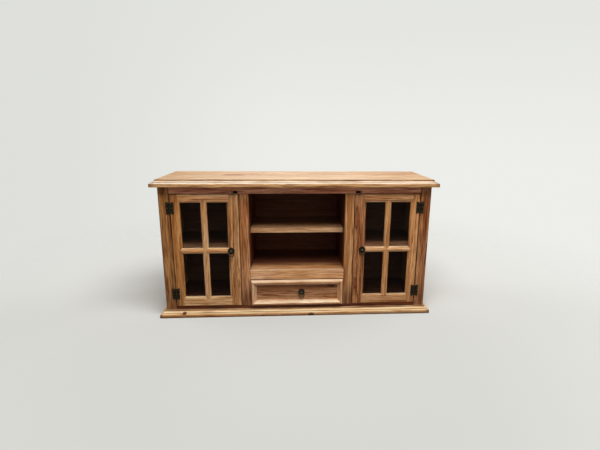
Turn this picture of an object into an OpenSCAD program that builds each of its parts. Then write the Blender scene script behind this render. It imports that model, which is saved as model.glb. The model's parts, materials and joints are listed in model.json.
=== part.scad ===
// Rustic television stand: two glazed doors, an open middle bay with a shelf, and a drawer.
// Millimetres, Z up. The origin lies on the floor at the middle of the footprint.
// The front looks towards -Y. The left side is the side at the viewer's left hand, at -X.

/* [Overall] */
// Width over the moulded edge of the top
top_w = 1400; // [1250:10:1700]
// Depth over the moulded edge of the top
top_d = 380; // [350:5:480]
// Height from the floor to the surface of the top
height = 709; // [640:1:820]
// How far the top stands past the carcass, at the front and at each end
top_overhang = 29; // [27:1:45]

/* [Top] */
// Thickness of the top panel
top_t = 35; // [32:1:38]
// Width of the moulding round the top panel
top_mould_w = 24; // [22:1:30]
// Height of the flat band at the foot of the top moulding
top_band_h = 13; // [11:1:16]
// How far the top moulding lies below the surface of the panel
top_mould_drop = 2; // [1:0.5:3]

/* [Carcass] */
// Thickness of the stiles and rails of the face frame
frame_t = 22; // [18:1:28]
// Width of the stile at each end of the face frame
outer_stile_w = 52; // [44:1:70]
// Width of the stile on each side of the middle bay
middle_stile_w = 46; // [40:1:60]
// Height of the rail under the top
top_rail_h = 36; // [32:1:60]
// Height of the bottom rail, from the floor to the foot of the doors
bottom_rail_h = 50; // [48:1:62]
// Clear width of the middle bay
bay_w = 478; // [440:2:520]
// Thickness of the side panels
side_t = 20; // [16:1:24]
// Thickness of the partitions beside the bay
partition_t = 20; // [16:1:24]
// Thickness of the bottom board
bottom_t = 18; // [15:1:24]
// Thickness of the back boards
back_t = 10; // [8:1:14]
// Number of boards in the back
back_boards_n = 5; // [4:1:8]
// Gap left between two back boards for the wood to move
back_board_gap = 1; // [0.5:0.5:2]
// Radius of the softened edges of the face frame
arris_r = 2; // [1:0.5:3]

/* [Bay and shelves] */
// Height of the bay's deck above the floor
deck_z = 241; // [235:1:270]
// Thickness of the deck
deck_t = 20; // [16:1:24]
// Height of the rail under the front of the deck
bay_rail_h = 49; // [42:1:58]
// Height of the bay's shelf above the floor
bay_shelf_z = 445; // [420:1:500]
// Thickness of the bay's shelf
bay_shelf_t = 24; // [18:1:28]
// How far the bay's shelf stands back from the face frame
bay_shelf_setback = 70; // [40:5:120]
// Depth of the housing grooves that carry the deck and the bay's shelf
housing_d = 5; // [3:1:7]
// Height of the shelf behind each door
side_shelf_z = 358; // [340:1:400]
// Thickness of the shelf behind each door
side_shelf_t = 20; // [16:1:24]
// How far the shelf behind each door stands back from the face frame
side_shelf_setback = 40; // [34:2:90]
// Height and width of the battens that carry shelves and hold the top
batten = 18; // [14:1:22]

/* [Base] */
// Height of the moulded plinth
plinth_h = 34; // [32:1:40]
// How far the plinth stands out past the carcass
plinth_w = 27; // [24:1:34]
// Height of the flat band at the foot of the plinth
plinth_band_h = 14; // [10:1:15]
// Width of each bearer under the bottom board
bearer_w = 45; // [30:1:60]

/* [Doors] */
// Gap round each door and round the drawer front
door_gap = 2.5; // [1.5:0.5:3.5]
// Gap between a closed door and its stop
stop_gap = 0.3; // [0.2:0.1:0.6]
// Width of the door stile at the hinges
hinge_stile_w = 46; // [40:1:60]
// Width of the door stile that carries the pull
free_stile_w = 58; // [50:1:70]
// Width of the door's top rail
door_top_rail_w = 42; // [36:1:60]
// Width of the door's bottom rail
door_bottom_rail_w = 50; // [42:1:70]
// Width of the glazing bars
bar_w = 31; // [28:1:36]
// Width of the moulding worked on the edges round the glass
stick_w = 12; // [10:0.5:13]
// Depth of the small step where that moulding meets the flat face
stick_step = 1.5; // [1:0.5:2]
// Radius of that moulding
stick_r = 15; // [14:0.5:18]
// Depth from the face of the door to the glass
lip_d = 9; // [8.5:0.5:11]
// Width of the rebate behind that moulding, for the glass and its beads
rebate_w = 8; // [6:0.5:9]
// Thickness of the glass
glass_t = 4; // [3:0.5:5]
// Play between the edge of the glass and its rebate
glass_play = 1; // [0.5:0.5:2]
// How far the beads lie below the back of the door
bead_set = 1.7; // [0.5:0.1:2]
// Width of the stop batten above each door
stop_w = 20; // [12:1:30]
// How far the stop batten reaches down behind the door
stop_reach = 8; // [6:1:14]
// Width of the notch in the top rail over each door's free corner
notch_w = 34; // [26:1:40]
// Height of that notch
notch_h = 15; // [8:1:18]

/* [Drawer] */
// How far the back of the drawer front lies ahead of the back of the frame
drawer_front_set = 2; // [1:0.5:4]
// Space left between the closed drawer and the back boards
drawer_rear_space = 25; // [12:1:60]
// Thickness of the drawer sides and back
drawer_side_t = 12; // [10:1:15]
// Clearance between each drawer side and the partition
drawer_side_gap = 3; // [1.5:0.5:5]
// Clearance above the drawer sides, under the bay rail
drawer_top_gap = 8; // [5:1:14]
// Thickness of the drawer bottom
drawer_bottom_t = 5; // [4:1:8]
// Height of the drawer bottom above the lower edge of the sides
drawer_bottom_up = 8; // [6:1:12]
// Depth of the grooves that hold the drawer bottom
drawer_groove_d = 5; // [3:1:6]
// How far the sides run on behind the drawer back
drawer_back_in = 28; // [12:2:40]
// Height of the runners under the drawer sides
runner_h = 5; // [3:1:8]
// Height of the raised end of each runner, which stops the closed drawer
runner_stop_h = 15; // [10:1:30]
// Width of the strip behind the bay rail that stops the pulled drawer
drawer_stop_w = 20; // [12:1:30]
// How far that strip reaches down in front of the drawer back
drawer_stop_reach = 9; // [6:1:16]
// Clearance between the drawer sides and what guides them, above and below
slide_gap = 0.3; // [0.1:0.1:0.5]
// Width of the moulding on the drawer front
drawer_mould_w = 28; // [24:1:40]
// How far that moulding stands out
drawer_mould_d = 16; // [12:1:18]

/* [Ironwork] */
// Length of each hinge leaf at its outer edge
leaf_h = 60; // [54:1:72]
// Reach of each hinge leaf from the pin
leaf_w = 19; // [16:0.5:23]
// Thickness of the hinge leaves
leaf_t = 2; // [1.5:0.5:3]
// Length of the hinge knuckle
knuckle_h = 54; // [40:1:56]
// Outer radius of the hinge knuckle
knuckle_r = 4; // [3.5:0.5:5]
// Radius of the hinge pin
pin_r = 2; // [1.5:0.5:2.5]
// Distance from the end of a door to the middle of its hinge
hinge_inset = 68; // [55:1:110]
// Radius of the rosette behind each pull
plate_r = 17; // [13:0.5:18]
// Radius of the drop ring, to the middle of its wire
ring_r = 14; // [11:0.5:15]
// Radius of the wire of the drop ring
ring_wire_r = 2.25; // [1.5:0.25:2.5]
// Distance from the edge of the glass opening to the middle of a door pull
pull_inset = 14; // [8:1:20]
// How far the drawer pull lies to the right of the middle of the drawer
drawer_pull_x = 22; // [-120:1:120]

/* [Hidden] */
$fn = 48;

// Heights
carcass_h = height - top_t;
rail_z = carcass_h - top_rail_h;
floor_z = bottom_rail_h;
door_h = rail_z - floor_z - 2 * door_gap;
door_z = floor_z + door_gap;

// Widths, measured from the middle plane
half_w = top_w / 2 - top_overhang;
bay_half = bay_w / 2;
door_in_x = bay_half + middle_stile_w;
door_out_x = half_w - outer_stile_w;
door_w = door_out_x - door_in_x - 2 * door_gap;

// Depths, measured back from the face of the frame
face_y = -top_d / 2 + top_overhang;
carcass_d = top_d - top_overhang;
back_y = carcass_d - back_t;
door_t = frame_t - stop_gap;
drawer_front_t = frame_t - drawer_front_set;
bead_d = door_t - lip_d - glass_t - bead_set;

// Joints
lap_play = 0.2;
mitre_gap = 0.1;

// Mouldings
round_r = 7;
fillet = 2;

// Ironwork
pin_y = -(knuckle_r + 0.3);
hinge_x = -door_gap / 2;
pin_play = 0.05;
knuckle_gap = 0.3;
pin_end_r = knuckle_r - 0.5;
eye_y = -7;
eye_r = 4.2;
eye_w = 5;
eye_hole_r = ring_wire_r + 0.45;
drawer_pull_z = floor_z + (drawer_top_z() - floor_z) / 2;

// Height of the upper edge of the drawer opening
function drawer_top_z() = deck_z - bay_rail_h;

// The panes: lower corner and size of each glass opening, seen in the door's own frame
pane_w = (door_w - hinge_stile_w - free_stile_w - bar_w) / 2;
pane_h = (door_h - door_top_rail_w - door_bottom_rail_w - bar_w) / 2;
pane_x = [hinge_stile_w, hinge_stile_w + pane_w + bar_w];
pane_z = [door_bottom_rail_w, door_bottom_rail_w + pane_h + bar_w];

// ---------------------------------------------------------------- placing and extruding

// Moves what is drawn behind the face of the frame to its place
module at_face() {
    translate([0, face_y, 0]) children();
}

// A flat section, width along the first axis and depth along the second, drawn out along X, Y or Z
module along_x(l) {
    rotate([90, 0, 90]) linear_extrude(l) mirror([1, -1]) children();
}

module along_z(l) {
    linear_extrude(l) children();
}

// A shape drawn in the plane of the front, drawn out towards the back
module along_y(l) {
    translate([0, l, 0]) rotate([90, 0, 0]) linear_extrude(l) children();
}

module board(x, y, z) {
    translate([x[0], y[0], z[0]]) cube([x[1] - x[0], y[1] - y[0], z[1] - z[0]]);
}

module both_sides() {
    children();
    mirror([1, 0, 0]) children();
}

// A door is drawn with its hinged edge at x = 0, its face at y = 0 and its foot at z = 0
module left_door_place() {
    translate([-door_out_x + door_gap, face_y, door_z]) children();
}

module right_door_place() {
    mirror([1, 0, 0]) left_door_place() children();
}

// A front member of the frame: two softened arrises at the face, square behind
module eased_section(w, t) {
    translate([arris_r, 0]) square([w - 2 * arris_r, t]);
    translate([0, arris_r]) square([w, t - arris_r]);
    for (u = [arris_r, w - arris_r]) translate([u, arris_r]) circle(arris_r);
}

// ---------------------------------------------------------------- mouldings

// Section of the top moulding and the plinth: band, round, step and hollow.
// First axis: in from the outer face. Second axis: up from the foot.
module cornice_section(w, h, band) {
    hollow_r = h - band - round_r - fillet;
    difference() {
        union() {
            square([w, band]);
            translate([round_r, 0]) square([w - round_r, band + round_r]);
            translate([round_r, band]) circle(round_r);
            translate([round_r + fillet, 0]) square([w - round_r - fillet, h]);
        }
        translate([round_r + fillet, h]) circle(hollow_r);
    }
}

// A strip of that moulding along X, its outer face at y = 0, mitred where the plan says so
module cornice_strip(l, w, h, band, mitre_start, mitre_end) {
    intersection() {
        rotate([90, 0, 90]) linear_extrude(l) cornice_section(w, h, band);
        linear_extrude(h)
            polygon([[0, 0], [l, 0], [l - mitre_end * w, w], [mitre_start * w, w]]);
    }
}

// The strip in front of a box of a half width, or at its left end
module cornice_front(half, y, w, h, band) {
    translate([-half - w, y - w, 0]) cornice_strip(2 * (half + w), w, h, band, 1, 1);
}

module cornice_left(half, y, back, w, h, band) {
    translate([-half - w, back, 0]) rotate([0, 0, -90])
        cornice_strip(back - y + w, w, h, band, 0, 1);
}

module top_panel() {
    half = top_w / 2 - top_mould_w;
    color("burlywood")
        board([-half, half], [-top_d / 2 + top_mould_w, top_d / 2], [carcass_h, height]);
}

module top_moulding_front() {
    color("peru") translate([0, 0, carcass_h])
        cornice_front(top_w / 2 - top_mould_w, -top_d / 2 + top_mould_w,
            top_mould_w, top_t - top_mould_drop, top_band_h);
}

module top_moulding_left() {
    color("sandybrown") translate([0, 0, carcass_h])
        cornice_left(top_w / 2 - top_mould_w, -top_d / 2 + top_mould_w, top_d / 2,
            top_mould_w, top_t - top_mould_drop, top_band_h);
}

module top_moulding_right() {
    mirror([1, 0, 0]) top_moulding_left();
}

module plinth_front() {
    color("peru") cornice_front(half_w, face_y, plinth_w, plinth_h, plinth_band_h);
}

module plinth_left() {
    color("sandybrown")
        cornice_left(half_w, face_y, face_y + carcass_d, plinth_w, plinth_h, plinth_band_h);
}

module plinth_right() {
    mirror([1, 0, 0]) plinth_left();
}

// ---------------------------------------------------------------- carcass

// Side panel, rebated along its back edge for the back boards
module left_side() {
    color("tan") at_face() translate([-half_w, 0, 0]) along_z(carcass_h)
        difference() {
            translate([0, frame_t]) square([side_t, carcass_d - frame_t]);
            translate([side_t / 2, back_y]) square([side_t, back_t + 1]);
        }
}

module right_side() {
    mirror([1, 0, 0]) left_side();
}

// Partition beside the bay, with housings for the deck and for the bay's shelf
module left_partition() {
    color("wheat") at_face() difference() {
        board([-bay_half - partition_t, -bay_half], [frame_t, back_y], [floor_z, carcass_h]);
        bay_deck_body();
        bay_shelf_body();
    }
}

module right_partition() {
    mirror([1, 0, 0]) left_partition();
}

module bottom_board() {
    color("tan") at_face()
        board([-half_w + side_t, half_w - side_t], [frame_t, back_y], [floor_z - bottom_t, floor_z]);
}

// Section of one back board. Its lower edge laps in front of the board below, which laps behind.
module back_board_section(h) {
    lap = 8;
    lap_t = (back_t - lap_play) / 2;
    square([lap_t, h - back_board_gap]);
    translate([0, lap]) square([back_t, h - lap - back_board_gap]);
    translate([back_t - lap_t, lap]) square([lap_t, h - back_board_gap]);
}

module back_boards() {
    z0 = floor_z - bottom_t;
    pitch = (carcass_h - z0) / back_boards_n;
    half = half_w - side_t / 2;
    color("rosybrown") at_face() for (i = [0 : back_boards_n - 1])
        intersection() {
            translate([-half, back_y, z0 + i * pitch])
                rotate([90, 0, 90]) linear_extrude(2 * half) back_board_section(pitch);
            board([-half, half], [back_y, carcass_d], [z0, carcass_h]);
        }
}

module left_outer_stile() {
    color("chocolate") at_face()
        translate([-half_w, 0, 0]) along_z(carcass_h) eased_section(outer_stile_w, frame_t);
}

module right_outer_stile() {
    mirror([1, 0, 0]) left_outer_stile();
}

module left_middle_stile() {
    color("chocolate") at_face() translate([-door_in_x, 0, floor_z])
        along_z(rail_z - floor_z) eased_section(middle_stile_w, frame_t);
}

module right_middle_stile() {
    mirror([1, 0, 0]) left_middle_stile();
}

// The notch over the free corner of the left door, wider at its top
module notch_section() {
    x = -door_in_x - door_gap;
    polygon([[x - notch_w + 4, -1], [x - 2, -1], [x, notch_h], [x - notch_w, notch_h]]);
}

module top_rail() {
    color("saddlebrown") at_face() difference() {
        translate([-door_out_x, 0, rail_z])
            along_x(2 * door_out_x) eased_section(top_rail_h, frame_t);
        both_sides()
            translate([0, -1, rail_z]) along_y(frame_t + 2) notch_section();
    }
}

module bottom_rail() {
    color("saddlebrown") at_face()
        translate([-door_out_x, 0, 0]) along_x(2 * door_out_x) eased_section(bottom_rail_h, frame_t);
}

module bay_rail() {
    color("saddlebrown") at_face()
        translate([-bay_half, 0, deck_z - bay_rail_h]) along_x(bay_w) eased_section(bay_rail_h, frame_t);
}

// Bearers on the floor, front to back, under the ends and the partitions
module base_bearers() {
    color("dimgray") at_face() both_sides()
        for (x = [bay_half + partition_t / 2 - bearer_w / 2, half_w - side_t - bearer_w])
            board([x, x + bearer_w], [frame_t, back_y], [0, floor_z - bottom_t]);
}

// ---------------------------------------------------------------- shelves and battens

module bay_deck_body() {
    half = bay_half + housing_d;
    board([-half, half], [frame_t, back_y], [deck_z - deck_t, deck_z]);
}

module bay_deck() {
    color("burlywood") at_face() bay_deck_body();
}

module bay_shelf_body() {
    half = bay_half + housing_d;
    translate([-half, bay_shelf_setback, bay_shelf_z - bay_shelf_t])
        along_x(2 * half) shelf_section(bay_shelf_t, back_y - bay_shelf_setback);
}

module bay_shelf() {
    color("burlywood") at_face() bay_shelf_body();
}

// Section of a shelf with a softened front: height along the first axis, depth along the second
module shelf_section(t, d) {
    translate([arris_r, 0]) square([t - 2 * arris_r, d]);
    translate([0, arris_r]) square([t, d - arris_r]);
    for (u = [arris_r, t - arris_r]) translate([u, arris_r]) circle(arris_r);
}

// The shelf behind a door lies loose on its battens, with a little play at its ends
module left_shelf() {
    play = 0.5;
    l = half_w - side_t - bay_half - partition_t - 2 * play;
    color("burlywood") at_face()
        translate([-half_w + side_t + play, side_shelf_setback, side_shelf_z - side_shelf_t])
            along_x(l) shelf_section(side_shelf_t, back_y - side_shelf_setback - play);
}

module right_shelf() {
    mirror([1, 0, 0]) left_shelf();
}

// Four battens with their tops at one height, on the side panels and on the partitions
module batten_set(z) {
    y = [side_shelf_setback + batten, back_y - batten];
    both_sides() {
        board([half_w - side_t - batten, half_w - side_t], y, [z - batten, z]);
        board([bay_half + partition_t, bay_half + partition_t + batten], y, [z - batten, z]);
    }
}

module battens() {
    color("dimgray") at_face() {
        batten_set(side_shelf_z - side_shelf_t);
        batten_set(carcass_h);
    }
}

// ---------------------------------------------------------------- stops, catches, runners

module door_stops() {
    l = half_w - side_t - bay_half - partition_t;
    color("sienna") at_face() both_sides()
        translate([bay_half + partition_t, frame_t, rail_z - stop_reach])
            difference() {
                cube([l, stop_w, stop_reach + top_rail_h]);
                translate([door_in_x - bay_half - partition_t, 0, 0]) catch_seat();
            }
}

// Spring catch let into the stop, over the free corner of the door
catch_w = 20;
catch_h = 12;
catch_d = 9;

module catch_seat() {
    translate([door_gap + (notch_w - catch_w) / 2, 0, stop_reach - 1])
        cube([catch_w, catch_d, catch_h]);
}

module door_catches() {
    color("dimgray") at_face() both_sides()
        translate([door_in_x, frame_t, rail_z - stop_reach]) catch_seat();
}

drawer_box_x = bay_half - drawer_side_gap;
drawer_box_z = floor_z + runner_h + slide_gap;
drawer_box_h = drawer_top_z() - drawer_top_gap - drawer_box_z;
drawer_side_l = back_y - drawer_front_t - drawer_rear_space;
drawer_back_y = drawer_front_t + drawer_side_l - drawer_back_in - drawer_side_t;

// Inner and outer edge of the strips that guide a drawer side, which reach a little past its inner face
guide_past = 2;
guide_x = [drawer_box_x - drawer_side_t - guide_past, bay_half];

// Strip under each drawer side, with a raised end that stops the closed drawer
module drawer_runners() {
    y_end = drawer_front_t + drawer_side_l + slide_gap;
    color("khaki") at_face() both_sides() {
        board(guide_x, [frame_t, y_end], [floor_z, floor_z + runner_h]);
        board(guide_x, [y_end, back_y], [floor_z, floor_z + runner_h + runner_stop_h]);
    }
}

// Strips over the drawer sides, and the strip behind the rail that stops the pulled drawer
module drawer_kickers() {
    z = drawer_box_z + drawer_box_h + slide_gap;
    color("khaki") at_face() {
        both_sides() board(guide_x, [frame_t, back_y - batten], [z, deck_z - deck_t]);
        board([guide_past - guide_x[0], guide_x[0] - guide_past], [frame_t, frame_t + drawer_stop_w],
            [z - slide_gap - drawer_stop_reach, deck_z - deck_t]);
    }
}

// ---------------------------------------------------------------- door joinery

// Moulding worked on an edge: starts at the flat face, ends at the edge of the glass
module sticking() {
    intersection() {
        translate([0, stick_step]) square([stick_w, lip_d - stick_step]);
        translate([0, stick_step + stick_r]) circle(stick_r);
    }
}

// Stile or rail of a door: outer edge at 0, glass edge at w. Face at depth 0.
module door_section(w) {
    flat = w - stick_w;
    translate([arris_r, 0]) square([flat - arris_r, door_t]);
    translate([0, arris_r]) square([flat, door_t - arris_r]);
    translate([arris_r, arris_r]) circle(arris_r);
    translate([flat, 0]) sticking();
    translate([flat - 0.01, lip_d - 0.01]) square([stick_w - rebate_w + 0.01, door_t - lip_d + 0.01]);
}

// Glazing bar: the same moulding on both edges, with a rebate on both sides
module bar_section() {
    land = bar_w - 2 * stick_w;
    rib = bar_w - 2 * rebate_w;
    translate([stick_w, 0]) square([land, lip_d]);
    translate([stick_w + land, 0]) sticking();
    translate([stick_w, 0]) mirror([1, 0]) sticking();
    translate([rebate_w, lip_d - 0.01]) square([rib, door_t - lip_d + 0.01]);
}

module hinge_stile_body() {
    along_z(door_h) door_section(hinge_stile_w);
}

// The free stile has a small notch in its top end, under the catch
module free_stile_body() {
    difference() {
        translate([door_w, 0, 0]) mirror([1, 0, 0]) along_z(door_h) door_section(free_stile_w);
        translate([door_w - notch_w / 2, -1, door_h]) along_y(door_t + 2)
            polygon([[-9, 1], [9, 1], [9, 0], [1.5, -6], [-1.5, -6], [-9, 0]]);
    }
}

// Rails run the full width here, and are coped over the moulding of both stiles
module rail_length(w) {
    translate([hinge_stile_w - stick_w, 0, 0])
        along_x(door_w - hinge_stile_w - free_stile_w + 2 * stick_w) door_section(w);
}

module bottom_rail_length() {
    rail_length(door_bottom_rail_w);
}

module top_rail_length() {
    translate([0, 0, door_h]) mirror([0, 0, 1]) rail_length(door_top_rail_w);
}

module door_bottom_rail() {
    difference() {
        bottom_rail_length();
        hinge_stile_body();
        free_stile_body();
    }
}

module door_top_rail() {
    difference() {
        top_rail_length();
        hinge_stile_body();
        free_stile_body();
    }
}

module upright_bar_length() {
    translate([pane_x[1] - bar_w, 0, door_bottom_rail_w - stick_w])
        along_z(2 * pane_h + bar_w + 2 * stick_w) bar_section();
}

module upright_bar() {
    difference() {
        upright_bar_length();
        bottom_rail_length();
        top_rail_length();
    }
}

module cross_bars() {
    difference() {
        for (x = pane_x)
            translate([x - stick_w, 0, pane_z[1] - bar_w])
                along_x(pane_w + 2 * stick_w) bar_section();
        hinge_stile_body();
        free_stile_body();
        upright_bar_length();
    }
}

module glass() {
    grow = rebate_w - glass_play;
    for (x = pane_x, z = pane_z)
        board([x - grow, x + pane_w + grow], [lip_d, lip_d + glass_t], [z - grow, z + pane_h + grow]);
}

// Quarter-round bead: its seat on the glass, its back in the corner of the rebate
module bead_section() {
    intersection() {
        square([rebate_w - 1, bead_d]);
        translate([rebate_w - 1 - bead_d - 2, -2]) circle(bead_d + 2);
    }
}

module bead(l) {
    along_x(l) bead_section();
}

module beads() {
    y = lip_d + glass_t;
    for (x = pane_x, z = pane_z) translate([x - rebate_w, y, z - rebate_w]) {
        w = pane_w + 2 * rebate_w;
        h = pane_h + 2 * rebate_w;
        bead_w = rebate_w - 1;
        bead(w);
        translate([0, 0, h]) mirror([0, 0, 1]) bead(w);
        translate([0, 0, bead_w]) along_z(h - 2 * bead_w) bead_section();
        translate([w, 0, bead_w]) mirror([1, 0, 0]) along_z(h - 2 * bead_w) bead_section();
    }
}

// ---------------------------------------------------------------- hinges

knuckles = 5;
knuckle_pitch = knuckle_h / knuckles;
hinge_z = [hinge_inset, door_h - hinge_inset];

// Outline of a leaf seen from the front, from the pin outwards, with hollowed ends
module leaf_outline() {
    start = knuckle_r + 0.5;
    hollow_r = (leaf_h - knuckle_h) / 2 + 5;
    difference() {
        translate([start, -leaf_h / 2]) square([leaf_w - start, leaf_h]);
        for (s = [-1, 1]) translate([start, s * (knuckle_h / 2 + hollow_r)]) circle(hollow_r);
    }
}

// One leaf with its share of the knuckles: the odd ones or the even ones
module leaf(first) {
    translate([hinge_x, 0, 0]) difference() {
        union() {
            translate([0, -leaf_t, 0]) along_y(leaf_t) leaf_outline();
            for (i = [first : 2 : knuckles - 1])
                translate([0, 0, -knuckle_h / 2 + i * knuckle_pitch + knuckle_gap / 2]) {
                    translate([0, pin_y, 0]) cylinder(r = knuckle_r, h = knuckle_pitch - knuckle_gap);
                    translate([0, -leaf_t, 0])
                        cube([knuckle_r + 0.5, leaf_t, knuckle_pitch - knuckle_gap]);
                }
        }
        translate([0, pin_y, -knuckle_h]) cylinder(r = pin_r + pin_play, h = 2 * knuckle_h);
    }
}

module door_leaves() {
    for (z = hinge_z) translate([0, 0, z]) leaf(1);
}

// Fixed leaves on the outer stile, each with the pin and its round ends
module frame_leaves() {
    for (z = hinge_z) translate([0, 0, z]) {
        translate([2 * hinge_x, 0, 0]) mirror([1, 0, 0]) leaf(0);
        translate([hinge_x, pin_y, 0]) {
            cylinder(r = pin_r, h = knuckle_h, center = true);
            for (s = [-1, 1]) translate([0, 0, s * knuckle_h / 2])
                intersection() {
                    sphere(r = pin_end_r);
                    translate([-pin_end_r, -pin_end_r, s < 0 ? -pin_end_r : 0])
                        cube([2 * pin_end_r, 2 * pin_end_r, pin_end_r]);
                }
        }
    }
}

module hinge_frame_leaves() {
    color("darkslategray") {
        left_door_place() frame_leaves();
        right_door_place() frame_leaves();
    }
}

// ---------------------------------------------------------------- pulls

// Rosette, turned, with a raised rim and a boss that carries the eye of the ring.
// Drawn with its back on the plane y = 0 and its middle at the origin.
module rosette() {
    rim_r = 1.4;
    dome_r = 16;
    dome_h = 4;
    difference() {
        union() {
            rotate([90, 0, 0]) {
                cylinder(r = plate_r, h = 1.4);
                translate([0, 0, 1.4]) rotate_extrude()
                    translate([plate_r - rim_r - 0.4, 0]) circle(rim_r);
                intersection() {
                    translate([0, 0, dome_h - dome_r]) sphere(r = dome_r);
                    cylinder(r = plate_r - 2, h = dome_h);
                }
                cylinder(r = 3.2, h = -eye_y);
            }
            translate([-eye_w / 2, eye_y, 0]) rotate([0, 90, 0]) cylinder(r = eye_r, h = eye_w);
        }
        translate([-eye_w, eye_y, 0]) rotate([0, 90, 0]) cylinder(r = eye_hole_r, h = 2 * eye_w);
    }
}

// Drop ring, hanging from the eye
module ring() {
    translate([0, eye_y, -ring_r]) rotate([90, 0, 0])
        rotate_extrude() translate([ring_r, 0]) circle(ring_wire_r);
}

module door_pull_place() {
    translate([door_w - free_stile_w + pull_inset, 0, pane_z[1] - bar_w / 2]) children();
}

// ---------------------------------------------------------------- left door

module left_hinge_stile() { color("goldenrod") left_door_place() hinge_stile_body(); }
module left_free_stile() { color("goldenrod") left_door_place() free_stile_body(); }
module left_door_top_rail() { color("darkgoldenrod") left_door_place() door_top_rail(); }
module left_door_bottom_rail() { color("darkgoldenrod") left_door_place() door_bottom_rail(); }
module left_upright_bar() { color("gold") left_door_place() upright_bar(); }
module left_cross_bars() { color("khaki") left_door_place() cross_bars(); }
module left_glass() { color("lightblue") left_door_place() glass(); }
module left_beads() { color("olive") left_door_place() beads(); }
module left_door_leaves() { color("slategray") left_door_place() door_leaves(); }
module left_rosette() { color("black") left_door_place() door_pull_place() rosette(); }
module left_ring() { color("red") left_door_place() door_pull_place() ring(); }

// ---------------------------------------------------------------- right door

module right_hinge_stile() { color("goldenrod") right_door_place() hinge_stile_body(); }
module right_free_stile() { color("goldenrod") right_door_place() free_stile_body(); }
module right_door_top_rail() { color("darkgoldenrod") right_door_place() door_top_rail(); }
module right_door_bottom_rail() { color("darkgoldenrod") right_door_place() door_bottom_rail(); }
module right_upright_bar() { color("gold") right_door_place() upright_bar(); }
module right_cross_bars() { color("khaki") right_door_place() cross_bars(); }
module right_glass() { color("lightblue") right_door_place() glass(); }
module right_beads() { color("olive") right_door_place() beads(); }
module right_door_leaves() { color("slategray") right_door_place() door_leaves(); }
module right_rosette() { color("black") right_door_place() door_pull_place() rosette(); }
module right_ring() { color("red") right_door_place() door_pull_place() ring(); }

// ---------------------------------------------------------------- drawer

drawer_front_x = bay_half - door_gap;
drawer_front_z = [floor_z + door_gap, drawer_top_z() - door_gap];
drawer_groove_z = drawer_box_z + drawer_bottom_up;

// Section of the moulding on the drawer front: in from the outer edge, out from the face.
// A round outer edge, a narrow crest, a small step and a hollow that runs down to the face.
module drawer_mould_section() {
    outer_r = 0.7 * drawer_mould_d;
    crest = 2;
    step = 1.5;
    foot = 2.5;
    hollow_from = [outer_r + crest, drawer_mould_d - step];
    hollow_to = [drawer_mould_w - foot, foot];
    chord = hollow_to - hollow_from;
    hollow_r = 1.2 * norm(chord);
    rise = sqrt(hollow_r * hollow_r - norm(chord) * norm(chord) / 4) / norm(chord);
    difference() {
        union() {
            square([drawer_mould_w, foot]);
            square([outer_r + crest, drawer_mould_d - outer_r]);
            translate([outer_r, 0]) square([crest, drawer_mould_d]);
            intersection() {
                translate([outer_r, drawer_mould_d - outer_r]) circle(outer_r);
                square([outer_r + crest / 2, drawer_mould_d]);
            }
            polygon([[outer_r, 0], [outer_r, hollow_from.y], hollow_from, hollow_to, [hollow_to.x, 0]]);
        }
        translate((hollow_from + hollow_to) / 2 + rise * [-chord.y, chord.x]) circle(hollow_r);
    }
}

// One mitred strip of it along X, its outer edge at z = 0 and its back at y = 0
module drawer_mould_strip(l) {
    intersection() {
        rotate([90, 0, 90]) linear_extrude(l) mirror([1, -1]) mirror([0, 1]) drawer_mould_section();
        translate([0, -drawer_mould_d, 0]) along_y(drawer_mould_d)
            polygon([[mitre_gap, 0], [l - mitre_gap, 0],
                [l - mitre_gap - drawer_mould_w, drawer_mould_w],
                [mitre_gap + drawer_mould_w, drawer_mould_w]]);
    }
}

module drawer_front() {
    color("peru") at_face() difference() {
        board([-drawer_front_x, drawer_front_x], [0, drawer_front_t], drawer_front_z);
        drawer_bottom_body();
    }
}

module drawer_moulding() {
    w = 2 * drawer_front_x;
    h = drawer_front_z[1] - drawer_front_z[0];
    color("chocolate") at_face() translate([0, 0, drawer_front_z[0]]) {
        translate([-w / 2, 0, 0]) drawer_mould_strip(w);
        translate([-w / 2, 0, h]) mirror([0, 0, 1]) drawer_mould_strip(w);
        translate([-w / 2, 0, h]) rotate([0, 90, 0]) drawer_mould_strip(h);
        translate([w / 2, 0, 0]) rotate([0, -90, 0]) drawer_mould_strip(h);
    }
}

// The two sides, grooved for the bottom
module drawer_sides() {
    y = [drawer_front_t, drawer_front_t + drawer_side_l];
    color("tan") at_face() difference() {
        both_sides() board([drawer_box_x - drawer_side_t, drawer_box_x], y,
            [drawer_box_z, drawer_box_z + drawer_box_h]);
        drawer_bottom_body();
    }
}

// The back stands on the bottom, between the sides
module drawer_back() {
    half = drawer_box_x - drawer_side_t;
    color("wheat") at_face()
        board([-half, half], [drawer_back_y, drawer_back_y + drawer_side_t],
            [drawer_groove_z + drawer_bottom_t, drawer_box_z + drawer_box_h]);
}

module drawer_bottom_body() {
    half = drawer_box_x - drawer_side_t + drawer_groove_d;
    board([-half, half], [drawer_front_t - drawer_groove_d, drawer_back_y + drawer_side_t],
        [drawer_groove_z, drawer_groove_z + drawer_bottom_t]);
}

module drawer_bottom() {
    color("wheat") at_face() drawer_bottom_body();
}

module drawer_pull_place() {
    at_face() translate([drawer_pull_x, 0, drawer_pull_z]) children();
}

module drawer_rosette() { color("black") drawer_pull_place() rosette(); }
module drawer_ring() { color("red") drawer_pull_place() ring(); }

// ---------------------------------------------------------------- all pieces

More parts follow.
